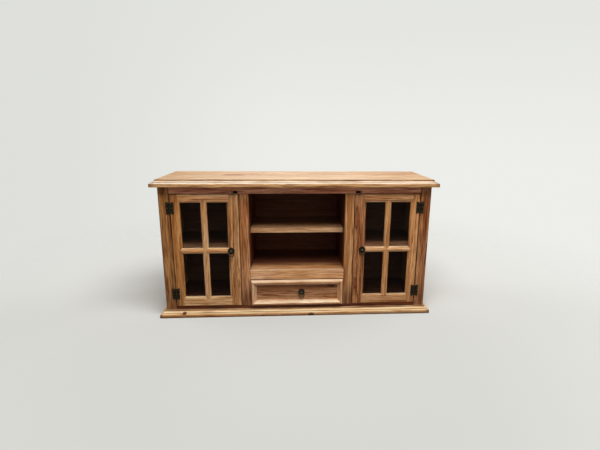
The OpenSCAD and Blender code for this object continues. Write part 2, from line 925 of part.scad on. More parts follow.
top_panel();
top_moulding_front();
top_moulding_left();
top_moulding_right();
left_side();
right_side();
left_partition();
right_partition();
bottom_board();
back_boards();
left_outer_stile();
right_outer_stile();
left_middle_stile();
right_middle_stile();
top_rail();
bottom_rail();
bay_rail();
plinth_front();
plinth_left();
plinth_right();
base_bearers();
bay_deck();
bay_shelf();
left_shelf();
right_shelf();
battens();
door_stops();
door_catches();
drawer_runners();
drawer_kickers();
hinge_frame_leaves();
left_hinge_stile();
left_free_stile();
left_door_top_rail();
left_door_bottom_rail();
left_upright_bar();
left_cross_bars();
left_glass();
left_beads();
left_door_leaves();
left_rosette();
left_ring();
right_hinge_stile();
right_free_stile();
right_door_top_rail();
right_door_bottom_rail();
right_upright_bar();
right_cross_bars();
right_glass();
right_beads();
right_door_leaves();
right_rosette();
right_ring();
drawer_front();
drawer_moulding();
drawer_sides();
drawer_back();
drawer_bottom();
drawer_rosette();
drawer_ring();
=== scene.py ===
# %% [markdown]
# # A rustic television stand, dressed in Blender
#
# The construction comes from the CAD model: every board, bar, pane, hinge leaf and ring is already a solid
# in its true place. Here the pieces get their finish, the hinges get their screws, and the whole stands on
# a plain studio floor. Everything is in metres, with the origin on the floor in the middle of the
# footprint, X to the right and Y to the back.

# %% The frame
import json
import math
import operator
import random

import bpy
from mathutils import Matrix, Vector


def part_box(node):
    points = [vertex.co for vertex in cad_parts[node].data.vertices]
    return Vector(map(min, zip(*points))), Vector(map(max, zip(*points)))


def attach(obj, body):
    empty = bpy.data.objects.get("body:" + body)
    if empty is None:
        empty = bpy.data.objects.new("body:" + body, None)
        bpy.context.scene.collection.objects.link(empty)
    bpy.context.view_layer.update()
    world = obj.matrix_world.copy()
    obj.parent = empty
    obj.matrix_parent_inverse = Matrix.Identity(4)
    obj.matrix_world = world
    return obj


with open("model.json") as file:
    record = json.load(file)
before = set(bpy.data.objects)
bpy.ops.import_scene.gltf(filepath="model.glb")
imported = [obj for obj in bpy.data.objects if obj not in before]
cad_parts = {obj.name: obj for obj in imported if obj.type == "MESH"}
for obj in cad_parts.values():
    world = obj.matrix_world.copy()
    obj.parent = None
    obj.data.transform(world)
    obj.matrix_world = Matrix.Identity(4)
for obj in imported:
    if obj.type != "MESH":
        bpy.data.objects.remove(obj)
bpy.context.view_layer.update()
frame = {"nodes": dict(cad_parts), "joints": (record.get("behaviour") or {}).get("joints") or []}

# %% [markdown]
# ## The camera
#
# The camera stands a little to the left of the middle, about two metres off and a metre up, and looks
# slightly down, so that the stand's top shows. Its lens is a short one. A small shift frames the stand
# without turning the camera.

# %% Camera
EYE = Vector((-0.0308, -1.9698, 0.9533))
LOOK = Vector((0.05798, 0.97393, -0.21931)).normalized()
ROLL = 0.0090
SENSOR_WIDTH = 36  # millimetres, as the lens
LENS = 22.4364
SHIFT = (-0.02125, -0.02156)

right = LOOK.cross(Vector((0, 0, 1))).normalized()
up = right.cross(LOOK)
turned_right = right * math.cos(ROLL) + up * math.sin(ROLL)
turned_up = up * math.cos(ROLL) - right * math.sin(ROLL)

camera = bpy.data.objects.new("camera", bpy.data.cameras.new("camera"))
bpy.context.scene.collection.objects.link(camera)
axes = Matrix((turned_right, turned_up, -LOOK)).transposed()
camera.matrix_world = Matrix.Translation(EYE) @ axes.to_4x4()
camera.data.sensor_width = SENSOR_WIDTH
camera.data.lens = LENS
camera.data.shift_x, camera.data.shift_y = SHIFT
camera.data.clip_start = 0.02
bpy.context.scene.camera = camera
print("lens %.2f mm, eye at height %.2f m" % (camera.data.lens, EYE.z))

# %% [markdown]
# ## Small helpers
#
# A colour is written as a painter would note it, as a hex value on the screen's scale. Blender mixes light
# on a linear scale, so one function turns the one into the other. A second function adds a node with its
# settings and its links, because every material below is a small tree of nodes. A node that is given as an
# input stands for its first output. A third function starts a node group: a tree that other trees use as
# one node, with named inputs. The last two start a material and put a new object in the scene.
#
# Sockets go by their name or their number. A Map Range reads from 1 to 2 and gives 3 to 4, which are 0 and
# 1 where nothing is said. A Mix takes its share in 0, and its two ends in 4 and 5 for vectors or in 6 and 7
# for colours.


# %% Helpers
def linear(hex_value):
    parts = [int(hex_value[i:i + 2], 16) / 255 for i in (0, 2, 4)]
    return tuple(v / 12.92 if v <= 0.04045 else ((v + 0.055) / 1.055) ** 2.4 for v in parts) + (1.0,)


def add(tree, kind, inputs=(), **settings):
    """Adds a node. inputs maps a socket's name or number to a value, to an output, or to a node."""
    n = tree.nodes.new(kind)
    for name, value in settings.items():
        setattr(n, name, value)
    for key, value in dict(inputs).items():
        if isinstance(value, bpy.types.Node):
            value = next(s for s in value.outputs if s.enabled)
        if isinstance(value, bpy.types.NodeSocket):
            tree.links.new(value, n.inputs[key])
        else:
            n.inputs[key].default_value = value
    return n


SOCKETS = {1: "NodeSocketFloat", 3: "NodeSocketVector", 4: "NodeSocketColor"}  # by how many numbers


def new_group(name, inputs, outputs):
    """Starts a node group. inputs maps each name to a value, and outputs maps each name to a type."""
    g = bpy.data.node_groups.new(name, "ShaderNodeTree")
    for key, value in inputs.items():
        length = len(value) if isinstance(value, tuple) else 1
        s = g.interface.new_socket(key, in_out="INPUT", socket_type=SOCKETS[length])
        s.default_value = value
    for key, socket in outputs.items():
        g.interface.new_socket(key, in_out="OUTPUT", socket_type="NodeSocket" + socket)
    return g, add(g, "NodeGroupInput").outputs


def new_material(name):
    mat = bpy.data.materials.new(name)
    mat.use_nodes = True
    mat.node_tree.nodes.clear()
    return mat, mat.node_tree


def new_object(name, data):
    ob = bpy.data.objects.new(name, data)
    scene.collection.objects.link(ob)
    return ob


scene = bpy.context.scene
scene.view_settings.view_transform = "Standard"
print("a mid grey, 808080, is", tuple(round(v, 3) for v in linear("808080")[:3]))

# %% [markdown]
# ## The studio
#
# The light comes from a broad soft lamp overhead, a little in front. It lights the top fully and the front
# at an angle, and it leaves the inside of the open bay dark, because the top and the shelf shade it. A weak
# lamp in front softens that shade. Two lamps behind the plane of the front and one at the back give the
# ends and the back enough light without reaching into the bay. The world adds a weak even light to all
# sides.


# %% Lamps
def lamp(name, place, towards, size, power):
    data = bpy.data.lights.new(name, "AREA")
    data.shape = "RECTANGLE"
    data.size, data.size_y = size
    data.energy = power
    ob = new_object(name, data)
    ob.location = place
    ob.rotation_euler = (Vector(towards) - Vector(place)).to_track_quat("-Z", "Y").to_euler()
    return ob


above = {"place": (0.40, -1.15, 3.0), "towards": (0.0, 0.0, 0.35), "size": (2.4, 1.4)}
over = lamp("overhead_lamp", power=67, **above)
over.visible_glossy = False  # or the varnish mirrors all of it; the next one gives the sheen
lamp("sheen_lamp", power=41, **above)
fill = lamp("front_lamp", (0.3, -3.2, 1.6), (0.0, 0.0, 0.4), (2.6, 1.6), power=13)
fill.visible_glossy = False  # or the panes mirror it
for name, side in (("left_lamp", -1), ("right_lamp", 1)):
    lamp(name, (2.6 * side, 0.75, 1.9), (0.5 * side, 0.1, 0.35), (1.4, 1.4), power=26)
back = lamp("back_lamp", (0.0, 2.7, 2.3), (0.0, 0.2, 0.4), (2.0, 1.2), power=40)
back.visible_glossy = False  # or the varnish of the top mirrors it as a white patch

# %% [markdown]
# The backdrop is a pale grey, a shade darker at the left and at the top. The camera sees that colour, and
# so do mirrors and glass, while the light that the world sheds on the stand stays weak. The Light Path node
# tells the two apart. Dark cloth hangs in front, so that glass shows what is behind it, and at both sides,
# so that varnish keeps its colour. Only reflections show that cloth.

# %% World
world = bpy.data.worlds.new("studio")
scene.world = world
world.use_nodes = True
tree = world.node_tree
tree.nodes.clear()
direction = add(tree, "ShaderNodeTexCoord").outputs["Generated"]
level = add(tree, "ShaderNodeSeparateXYZ", {0: direction}).outputs
rise = add(tree, "ShaderNodeMapRange", {0: level["Z"], 1: -0.10, 2: 0.32}, interpolation_type="SMOOTHSTEP")
aside = add(tree, "ShaderNodeMapRange", {0: level["X"], 1: -0.60, 2: 0.05}, interpolation_type="SMOOTHSTEP")
tall = add(tree, "ShaderNodeMix", {0: rise, 6: linear("EDEEE9"), 7: linear("E4E5E0")}, data_type="RGBA")
wall = add(tree, "ShaderNodeMix", {0: aside, 6: linear("DEDFDA"), 7: tall}, data_type="RGBA")
path = add(tree, "ShaderNodeLightPath").outputs
seen = add(tree, "ShaderNodeMath", {0: path["Is Camera Ray"], 1: path["Is Glossy Ray"]}, operation="MAXIMUM")
seen = add(tree, "ShaderNodeMath", {0: seen, 1: path["Is Transmission Ray"]}, operation="MAXIMUM")
shed = add(tree, "ShaderNodeBackground", {"Color": linear("FFFFFF"), "Strength": 0.13})
front = add(tree, "ShaderNodeMapRange", {0: level["Y"], 1: -0.45, 2: -0.10, 3: 0.98, 4: 0.0},
            interpolation_type="SMOOTHSTEP")
side = add(tree, "ShaderNodeMath", {0: level["X"]}, operation="ABSOLUTE")
side = add(tree, "ShaderNodeMapRange", {0: side, 1: 0.10, 2: 0.36, 4: 0.9}, interpolation_type="SMOOTHSTEP")
cloth = add(tree, "ShaderNodeMath", {0: front, 1: side}, operation="MAXIMUM")
cloth = add(tree, "ShaderNodeMath", {0: cloth, 1: path["Is Glossy Ray"]}, operation="MULTIPLY")
wall = add(tree, "ShaderNodeMix", {0: cloth, 6: wall, 7: linear("1C1712")}, data_type="RGBA")
shown = add(tree, "ShaderNodeBackground", {"Color": wall, "Strength": 1.0})
mixed = add(tree, "ShaderNodeMixShader", {0: seen, 1: shed, 2: shown})
add(tree, "ShaderNodeOutputWorld", {0: mixed})
print("the world takes", len(tree.nodes), "nodes")

# %% [markdown]
# The floor is a pale, matt, painted disc, and it takes the stand's soft shadow. From one metre out to
# nearly three it fades into the backdrop for the camera, so that no horizon cuts across the picture. In
# reflections it ends much sooner. Its fades follow its own Object coordinates, so it looks the same from
# every side. The light that the floor throws back on the stand comes off a darker grey than the one that is
# seen.


# %% Floor
def floor_material():
    mat, tree = new_material("matt_studio_floor")
    place = add(tree, "ShaderNodeTexCoord").outputs["Object"]
    away = add(tree, "ShaderNodeVectorMath", {0: place}, operation="LENGTH")
    far = add(tree, "ShaderNodeMapRange", {0: away, 1: 0.95, 2: 2.7}, interpolation_type="SMOOTHSTEP")
    near = add(tree, "ShaderNodeMapRange", {0: away, 1: 0.20, 2: 0.60}, interpolation_type="SMOOTHSTEP")
    path = add(tree, "ShaderNodeLightPath").outputs
    gone = add(tree, "ShaderNodeMath", {0: far, 1: path["Is Camera Ray"]}, operation="MULTIPLY")
    gone = add(tree, "ShaderNodeMath", {0: near, 1: path["Is Glossy Ray"], 2: gone}, operation="MULTIPLY_ADD")
    seen = add(tree, "ShaderNodeMath", {0: path["Is Camera Ray"], 1: path["Is Glossy Ray"]},
               operation="MAXIMUM")
    seen = add(tree, "ShaderNodeMath", {0: seen, 1: path["Is Transmission Ray"]}, operation="MAXIMUM")
    tone = add(tree, "ShaderNodeMix", {0: seen, 6: linear("969591"), 7: linear("CBCBC7")}, data_type="RGBA")
    paint = add(tree, "ShaderNodeBsdfDiffuse", {"Color": tone, "Roughness": 0.9})
    clear = add(tree, "ShaderNodeBsdfTransparent")
    both = add(tree, "ShaderNodeMixShader", {0: gone, 1: paint, 2: clear})
    add(tree, "ShaderNodeOutputMaterial", {0: both})
    return mat


RADIUS = 6
SIDES = 96
FLOOR_Z = -0.0005  # half a millimetre under the plinth
ring = [(RADIUS * math.cos(a * math.tau / SIDES), RADIUS * math.sin(a * math.tau / SIDES), FLOOR_Z)
        for a in range(SIDES)]
mesh = bpy.data.meshes.new("floor")
mesh.from_pydata(ring, [], [list(range(SIDES))])
floor = new_object("floor", mesh)
floor.data.materials.append(floor_material())
print("floor: a disc of", SIDES, "sides,", 2 * RADIUS, "m across")

# %% [markdown]
# ## The wood
#
# The stand is made of old pine boards, planed, stained honey brown and given a satin varnish. A board's
# figure is not a picture on its face: it is where the face cuts through the tree's year rings. So the grain
# here is solid. Each board has its own axis along the grain and its own pith, the middle of the tree it was
# sawn from, and the rings are cylinders round that line, bent a little. Faces, edges and end grain then
# agree by themselves.
#
# The trees below work in millimetres: year rings 4 to 9 mm apart, streaks some 3, 7, 20 and 34 mm wide and
# ten to twenty times as long, and pores half a millimetre wide that are drawn at 0.8 mm so that they show.
#
# ### Streaks
#
# Wood cells run along the trunk, so whatever colours a board does it in streaks. One group holds that:
# noise on coordinates that are divided by a streak's length and width.

# %% Streaks
streaks, given = new_group("streaks", {
    "Place": (0, 0, 0), "Length": 300.0, "Width": 10.0, "Detail": 2.0, "Roughness": 0.55,
}, {"Fac": "Float", "Color": "Color"})
size = add(streaks, "ShaderNodeCombineXYZ", {0: given["Length"], 1: given["Width"], 2: given["Width"]})
place = add(streaks, "ShaderNodeVectorMath", {0: given["Place"], 1: size}, operation="DIVIDE")
noise = add(streaks, "ShaderNodeTexNoise", {"Vector": place, "Scale": 1.0, "Detail": given["Detail"],
                                            "Roughness": given["Roughness"]}).outputs
add(streaks, "NodeGroupOutput", {0: noise["Fac"], 1: noise["Color"]})
print("streaks takes", [s.name for s in streaks.interface.items_tree if s.in_out == "INPUT"])

# %% [markdown]
# ### Knots
#
# A knot is a branch that the trunk grew round. It is 4 to 9 mm in radius on the narrow boards and 26 mm on
# the top, drawn out where the saw met it at a slant, and it pushes the rings aside. Everything about it
# follows from one number: how far a point is from its middle, counted in knot radii.

# %% Knots
knot, given = new_group("knot", {
    "Board": (0, 0, 0), "Knot": (0, 0, 0), "Length": 1.7, "Wobble": 0.0,
}, {"Push": "Float", "Mark": "Float", "Rim": "Float"})
radius = add(knot, "ShaderNodeSeparateXYZ", {0: given["Knot"]}).outputs["Z"]
wide = add(knot, "ShaderNodeMath", {0: radius, 1: 0.001}, operation="MAXIMUM")
long = add(knot, "ShaderNodeMath", {0: wide, 1: given["Length"]}, operation="MULTIPLY")
size = add(knot, "ShaderNodeCombineXYZ", {0: long, 1: wide, 2: 1.0})
away = add(knot, "ShaderNodeVectorMath", {0: given["Board"], 1: given["Knot"]}, operation="SUBTRACT")
away = add(knot, "ShaderNodeVectorMath", {0: away, 1: size}, operation="DIVIDE")
away = add(knot, "ShaderNodeVectorMath", {0: away, 1: (1, 1, 0)}, operation="MULTIPLY")
away = add(knot, "ShaderNodeVectorMath", {0: away}, operation="LENGTH")
far = add(knot, "ShaderNodeMath", {0: given["Wobble"], 1: 0.9, 2: away}, operation="MULTIPLY_ADD")
push = add(knot, "ShaderNodeMapRange", {0: far, 1: 1.0, 2: 5.0, 3: 1.4, 4: 0.0},
           interpolation_type="SMOOTHSTEP")
push = add(knot, "ShaderNodeMath", {0: push, 1: radius}, operation="MULTIPLY")
mark = add(knot, "ShaderNodeMapRange", {0: far, 1: 0.85, 2: 1.25, 3: 1.0, 4: 0.0},
           interpolation_type="SMOOTHSTEP")
rise = add(knot, "ShaderNodeMapRange", {0: far, 1: 0.8, 2: 1.05}, interpolation_type="SMOOTHSTEP")
fall = add(knot, "ShaderNodeMapRange", {0: far, 1: 1.05, 2: 1.5, 3: 1.0, 4: 0.0},
           interpolation_type="SMOOTHSTEP")
rim = add(knot, "ShaderNodeMath", {0: rise, 1: fall}, operation="MULTIPLY")
add(knot, "NodeGroupOutput", {0: push, 1: mark, 2: rim})
print("knot takes", [s.name for s in knot.interface.items_tree if s.in_out == "INPUT"])

# %% [markdown]
# ### Year rings
#
# The grain group starts here. Two slow drifts bend the rings, the way the tree grew. Each ring is a soft
# rise from pale early wood to dark late wood and then a sharp fall, and each has its own strength, because
# no two summers are alike.

# %% Rings
grain, given = new_group("pine_grain", {
    "Board": (0, 0, 0), "Seed": 0.0, "Pith": (0, 0, 60), "Ring Width": 6.0, "Wander": 46.0, "Figure": 0.5,
    "Red Share": 0.3, "Knot A": (0, 0, 0), "Knot A Length": 1.7, "Knot B": (0, 0, 0), "Knot B Length": 1.7,
    "Knot Strength": 0.86, "Worn And Lit": 0.0, "Grime And Shade": 0.0, "Sap": 0.0, "Shade": 0.0,
    "Bleached And Lit": linear("EBD2AE"), "Pale": linear("D8A56C"), "Warm": linear("B97B45"), "Red": linear("8E4B2A"),
    "Dark": linear("5A2F18"),
}, {"Colour": "Color", "Roughness": "Float", "Height": "Float"})
FAR_OFF = (1371, 537, 913)  # the seed puts each board somewhere else in the noise
shift = add(grain, "ShaderNodeVectorMath", {0: FAR_OFF, "Scale": given["Seed"]}, operation="SCALE")
place = add(grain, "ShaderNodeVectorMath", {0: given["Board"], 1: shift}, operation="ADD")

wobble = add(grain, "ShaderNodeGroup", {"Place": place, "Length": 9.0, "Width": 6.0}, node_tree=streaks)
wobble = add(grain, "ShaderNodeMath", {0: wobble, 1: 0.5}, operation="SUBTRACT")
knots = []
for key in ("Knot A", "Knot B"):
    inputs = {"Board": given["Board"], "Knot": given[key], "Length": given[key + " Length"], "Wobble": wobble}
    knots.append(add(grain, "ShaderNodeGroup", inputs, node_tree=knot).outputs)
push, knot_mark, knot_rim = (
    add(grain, "ShaderNodeMath", {0: knots[0][name], 1: knots[1][name]}, operation=operation)
    for name, operation in (("Push", "ADD"), ("Mark", "MAXIMUM"), ("Rim", "MAXIMUM")))

spot = add(grain, "ShaderNodeVectorMath", {0: given["Board"], 1: given["Pith"]}, operation="SUBTRACT")
sway = add(grain, "ShaderNodeCombineXYZ", {1: given["Wander"], 2: given["Wander"]})
for length, width, reach in ((400, 110, sway), (70, 16, (0, 6, 6))):  # a wide drift and a small one
    slow = {"Place": place, "Length": length, "Width": width, "Roughness": 0.5}
    drift = add(grain, "ShaderNodeGroup", slow, node_tree=streaks).outputs["Color"]
    drift = add(grain, "ShaderNodeVectorMath", {0: drift, 1: (0.5, 0.5, 0.5)}, operation="SUBTRACT")
    spot = add(grain, "ShaderNodeVectorMath", {0: drift, 1: reach, 2: spot}, operation="MULTIPLY_ADD")
away = add(grain, "ShaderNodeVectorMath", {0: spot, 1: (0.02, 1, 1)}, operation="MULTIPLY")
away = add(grain, "ShaderNodeVectorMath", {0: away}, operation="LENGTH")
away = add(grain, "ShaderNodeMath", {0: away, 1: push}, operation="ADD")
turn = add(grain, "ShaderNodeMath", {0: away, 1: given["Ring Width"]}, operation="DIVIDE")
part = add(grain, "ShaderNodeMath", {0: turn}, operation="FRACT")
year = add(grain, "ShaderNodeMath", {0: turn}, operation="FLOOR")
strength = add(grain, "ShaderNodeTexWhiteNoise", {"W": year}, noise_dimensions="1D").outputs["Value"]
strength = add(grain, "ShaderNodeMath", {0: strength, 1: 0.7, 2: 0.3}, operation="MULTIPLY_ADD")
rise = add(grain, "ShaderNodeMapRange", {0: part, 1: 0.25, 2: 0.86}, interpolation_type="SMOOTHSTEP")
fall = add(grain, "ShaderNodeMapRange", {0: part, 1: 0.88, 2: 1.0, 3: 1.0, 4: 0.0},
           interpolation_type="SMOOTHSTEP")
late = add(grain, "ShaderNodeMath", {0: rise, 1: fall}, operation="MULTIPLY")
late = add(grain, "ShaderNodeMath", {0: late, 1: strength}, operation="MULTIPLY")
print("the rings take", len(grain.nodes), "nodes")

# %% [markdown]
# ### Streaks, lines, dirt, and painted light and shade
#
# Before any colour come the shares: how warm, red, worn and lit, lined, knotty, or dirty and shaded each
# point is. Each share follows from streaks of its own width. Bleached wood, with the painted light of faces
# that look up, loses about half of its dark lines, and dirt, with the painted shade at edges and in steps,
# catches in some streaks more than in others.

# %% Shares
STREAKS = {  # length and width in millimetres, then the noise's detail and roughness
    "broad": (340, 34, 2, 0.55),
    "middle": (150, 7, 3, 0.6),
    "fine": (70, 3.2, 3, 0.65),
    "reddish": (220, 20, 2, 0.5),
    "pores": (16, 0.8, 1, 0.55),
}
broad, middle, fine, reddish, pores = (
    add(grain, "ShaderNodeGroup", {"Place": place, "Length": length, "Width": width, "Detail": detail,
                                   "Roughness": rough}, node_tree=streaks).outputs["Fac"]
    for length, width, detail, rough in STREAKS.values())
pores = add(grain, "ShaderNodeMapRange", {0: pores, 1: 0.63, 2: 0.72}, interpolation_type="SMOOTHSTEP")
tone = add(grain, "ShaderNodeMath", {0: middle, 1: 0.45}, operation="MULTIPLY")
tone = add(grain, "ShaderNodeMath", {0: broad, 1: 0.55, 2: tone}, operation="MULTIPLY_ADD")

warm = add(grain, "ShaderNodeMapRange", {0: tone, 1: 0.40, 2: 0.60}, interpolation_type="SMOOTHSTEP")
red = add(grain, "ShaderNodeMapRange", {0: reddish, 1: 0.48, 2: 0.64, 4: given["Red Share"]},
          interpolation_type="SMOOTHSTEP")
sap = add(grain, "ShaderNodeMapRange", {0: broad, 1: 0.3, 2: 0.6, 3: 1.0, 4: 0.5},
          interpolation_type="SMOOTHSTEP")
sap = add(grain, "ShaderNodeMath", {0: sap, 1: given["Sap"]}, operation="MULTIPLY")
worn = add(grain, "ShaderNodeMapRange", {0: tone, 1: 0.40, 2: 0.64, 3: 1.0, 4: 0.55},
           interpolation_type="SMOOTHSTEP")
worn = add(grain, "ShaderNodeMath", {0: worn, 1: given["Worn And Lit"]}, operation="MULTIPLY")

lines = add(grain, "ShaderNodeMapRange", {0: middle, 1: 0.50, 2: 0.66, 4: 0.75},
            interpolation_type="SMOOTHSTEP")
lines = add(grain, "ShaderNodeMath", {0: late, 1: 0.6, 2: lines}, operation="MULTIPLY_ADD")
lines = add(grain, "ShaderNodeMath", {0: lines, 1: given["Figure"]}, operation="MULTIPLY")
kept = add(grain, "ShaderNodeMath", {0: worn, 1: -0.5, 2: 1.0}, operation="MULTIPLY_ADD")
lines = add(grain, "ShaderNodeMath", {0: lines, 1: kept}, operation="MULTIPLY")
lines = add(grain, "ShaderNodeMath", {0: lines, 1: 0.85}, operation="MINIMUM")
kept = add(grain, "ShaderNodeMath", {0: worn, 1: -0.6, 2: 1.0}, operation="MULTIPLY_ADD")
hairs = add(grain, "ShaderNodeMapRange", {0: fine, 1: 0.44, 2: 0.70, 4: 0.55},
            interpolation_type="SMOOTHSTEP")
hairs = add(grain, "ShaderNodeMath", {0: hairs, 1: kept}, operation="MULTIPLY")
specks = add(grain, "ShaderNodeMath", {0: pores, 1: 0.35}, operation="MULTIPLY")
blush = add(grain, "ShaderNodeMath", {0: knot_mark, 1: 0.75}, operation="MULTIPLY")
ring = add(grain, "ShaderNodeMath", {0: knot_rim, 1: 0.8}, operation="MULTIPLY")
heart = add(grain, "ShaderNodeMath", {0: knot_mark, 1: given["Knot Strength"]}, operation="MULTIPLY")
dirt_and_shade = add(grain, "ShaderNodeMapRange", {0: middle, 1: 0.35, 2: 0.6, 3: 0.45, 4: 0.8},
           interpolation_type="SMOOTHSTEP")
dirt_and_shade = add(grain, "ShaderNodeMath", {0: dirt_and_shade, 1: given["Grime And Shade"]}, operation="MULTIPLY")
print("with the shares the grain takes", len(grain.nodes), "nodes")

# %% [markdown]
# ### Colour, gloss and relief
#
# Colours go on in layers, as stain, wear and dirt did, with painted light on faces that look up and painted
# shade at edges, in steps and deep inside among them, and a loop mixes them one over the other. Open pores
# are duller than the wood between them and lie a little deeper, and the hard late wood stands a little
# proud.

# %% Layers
KNOT_HEART = linear("3A1A0E")
# dirt, which also paints the shade in gaps, at the ends of the top's moulding and in the steps
DIRT_AND_SHADE_TINT = linear("301204")
# painted shade deep in the bay, behind the doors, inside the back, under the drawer's moulding and at the
# plinth's foot; the stiles darken towards the foot with it too
PAINTED_SHADE_TINT = linear("4A2418")
layers = ((warm, given["Warm"]), (red, given["Red"]), (sap, given["Pale"]), (worn, given["Bleached And Lit"]),
          (lines, given["Dark"]), (hairs, given["Dark"]), (specks, given["Dark"]), (blush, given["Red"]),
          (ring, given["Dark"]), (heart, KNOT_HEART), (dirt_and_shade, DIRT_AND_SHADE_TINT), (given["Shade"], PAINTED_SHADE_TINT))
colour = given["Pale"]
for share, tint in layers:
    colour = add(grain, "ShaderNodeMix", {0: share, 6: colour, 7: tint}, data_type="RGBA")

rough = add(grain, "ShaderNodeMath", {0: fine, 1: 0.22, 2: 0.30}, operation="MULTIPLY_ADD")
rough = add(grain, "ShaderNodeMath", {0: pores, 1: 0.25, 2: rough}, operation="MULTIPLY_ADD")
height = add(grain, "ShaderNodeMath", {0: fine, 1: 0.5}, operation="MULTIPLY")
height = add(grain, "ShaderNodeMath", {0: pores, 1: -0.9, 2: height}, operation="MULTIPLY_ADD")
height = add(grain, "ShaderNodeMath", {0: late, 1: 0.35, 2: height}, operation="MULTIPLY_ADD")
add(grain, "NodeGroupOutput", {0: colour, 1: rough, 2: height})
print("the whole grain takes", len(grain.nodes), "nodes and", len(layers), "layers of colour")

# %% [markdown]
# ### From a grain to a board
#
# The stain's colours come from a small table of tones, from the top's to those inside and then bare wood:
# what the sound wood, its warm and red streaks, its dark lines and its bleached faces look like, and the
# bleached faces also carry the painted light of faces that look up. No two boards take a stain alike, so a
# second table says how pale a board came out beside its tone, and which cast its own wood gives it. Golden
# boards have less blue, ruddy ones less green too, and faded, ashen and chalky ones have more of both.
# Paleness and cast multiply the tone's red, green and blue. No colour may go over PALEST in any of them, or
# it would clip to white.

# %% Tones
LOOKS = ("Pale", "Warm", "Red", "Dark", "Bleached And Lit")
TONES = {  # each tone has a colour for each of the looks
    "pale": ("E9C9A0", "C29263", "AC6A42", "7E461A", "EFDCC0"),
    "edge": ("CA9E6C", "B08050", "94603C", "603210", "FFF3DC"),
    "light": ("F6C694", "E0A670", "C27E50", "7E4214", "F8DEB6"),
    "straw": ("ECB886", "D5975D", "B46C42", "743A0E", "F4D4A6"),
    "honey": ("E3A672", "C58148", "A05832", "622C06", "EFC894"),
    "amber": ("D59665", "B5713F", "964E2B", "592705", "E6BA84"),
    "russet": ("E2A07C", "C6764E", "A45437", "5A2408", "E8B688"),
    "umber": ("84472A", "6C3620", "56260F", "321304", "9C6440"),
    "inner": ("7C4430", "683626", "54281C", "38190F", "7C4C38"),
    "bare": ("D3B58A", "BF9A6C", "A97F55", "7C5937", "DCC49C"),
}
PALEST = 0.93
CASTS = {  # factors on red, green and blue
    "even": (1, 1, 1),
    "golden": (1, 1, 0.8),
    "ruddy": (1, 0.9, 0.75),
    "deep red": (1, 0.85, 0.65),
    "rosy": (1, 0.85, 1),
    "faded": (1, 1.08, 1.08),
    "ashen": (1, 1.1, 1.2),
    "chalky": (1, 1.1, 1.3),
}
STAIN = {  # how pale a board came out beside its tone, and its cast
    "top_panel": (0.95, "even"),
    "top_moulding_front": (1.5, "even"),
    "top_moulding_left": (0.7, "deep red"),
    "top_moulding_right": (0.7, "deep red"),
    "top_rail": (1.15, "even"),
    "bottom_rail": (0.85, "deep red"),
    "plinth_front": (1.65, "faded"),
    "left_outer_stile": (0.75, "golden"),
    "left_middle_stile": (1.2, "ashen"),
    "right_middle_stile": (1.0, "faded"),
    "right_outer_stile": (0.9, "even"),
    "left_hinge_stile": (0.95, "golden"),
    "left_free_stile": (1.0, "faded"),
    "left_door_top_rail": (1.3, "even"),
    "left_door_bottom_rail": (1.0, "faded"),
    "left_upright_bar": (1.15, "ashen"),
    "left_cross_bars": (1.15, "even"),
    "right_hinge_stile": (1.0, "ruddy"),
    "right_free_stile": (0.95, "even"),
    "right_door_top_rail": (1.15, "even"),
    "right_door_bottom_rail": (1.0, "ashen"),
    "right_upright_bar": (0.95, "ruddy"),
    "right_cross_bars": (1.6, "ashen"),
    "bay_shelf": (0.95, "even"),
    "bay_deck": (0.95, "ashen"),
    "bay_rail": (1.25, "chalky"),
    "drawer_front": (1.0, "ashen"),
    "drawer_moulding": (1.25, "chalky"),
    "left_shelf": (0.6, "even"),
    "back_boards": (0.9, "rosy"),
}
print(len(TONES), "tones, and", len(STAIN), "boards that differ from theirs")

# %% [markdown]
# A board needs its own coordinates, which run along it, across it and through it, in millimetres from its
# middle. The first function makes them from the piece's Object coordinates, and says how far each point is
# from the nearer end and from the nearer edge. The second is for strips that run round a frame: past the
# mitre the board turns, and it is another board on each side.

# %% A board's coordinates
PAST_MITRE = 6.1  # how far apart the seeds are of boards that share a piece
OTHER_SIDE = 2.3
NEXT_STRIP = 3.7


def board_place(tree, node, order):
    """Gives the axes, the coordinates in millimetres, and how far in from its end and edge a point is."""
    low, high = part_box(node)
    axes = ["xyz".index(a) for a in order]
    here = add(tree, "ShaderNodeTexCoord").outputs["Object"]
    here = add(tree, "ShaderNodeVectorMath", {0: here, 1: tuple((low + high) / 2)}, operation="SUBTRACT")
    here = add(tree, "ShaderNodeVectorMath", {0: here, "Scale": 1000.0}, operation="SCALE")
    here = add(tree, "ShaderNodeSeparateXYZ", {0: here}).outputs
    parts = [here[a] for a in axes]
    rims = []
    for a, part in zip(axes[:2], parts):
        half = (high - low)[a] / 2 * 1000
        size = add(tree, "ShaderNodeMath", {0: part}, operation="ABSOLUTE")
        rims.append(add(tree, "ShaderNodeMath", {0: half, 1: size}, operation="SUBTRACT"))
    return axes, parts, rims


def past_the_mitre(tree, parts, rims, board, seed):
    """Nearer to the end than to the edge a point is past the mitre, where another board runs across."""
    turned = add(tree, "ShaderNodeMath", {0: rims[0], 1: rims[1]}, operation="LESS_THAN")
    other = add(tree, "ShaderNodeCombineXYZ", {0: parts[1], 1: parts[0], 2: parts[2]})
    board = add(tree, "ShaderNodeMix", {0: turned, 4: board, 5: other}, data_type="VECTOR")
    side = add(tree, "ShaderNodeSeparateXYZ", {0: board}).outputs["Y"]
    side = add(tree, "ShaderNodeMath", {0: side}, operation="SIGN")  # the four boards get four seeds
    seed = add(tree, "ShaderNodeMath", {0: side, 1: OTHER_SIDE, 2: seed}, operation="MULTIPLY_ADD")
    seed = add(tree, "ShaderNodeMath", {0: turned, 1: PAST_MITRE, 2: seed}, operation="MULTIPLY_ADD")
    return board, seed


print("places on a board are ready")
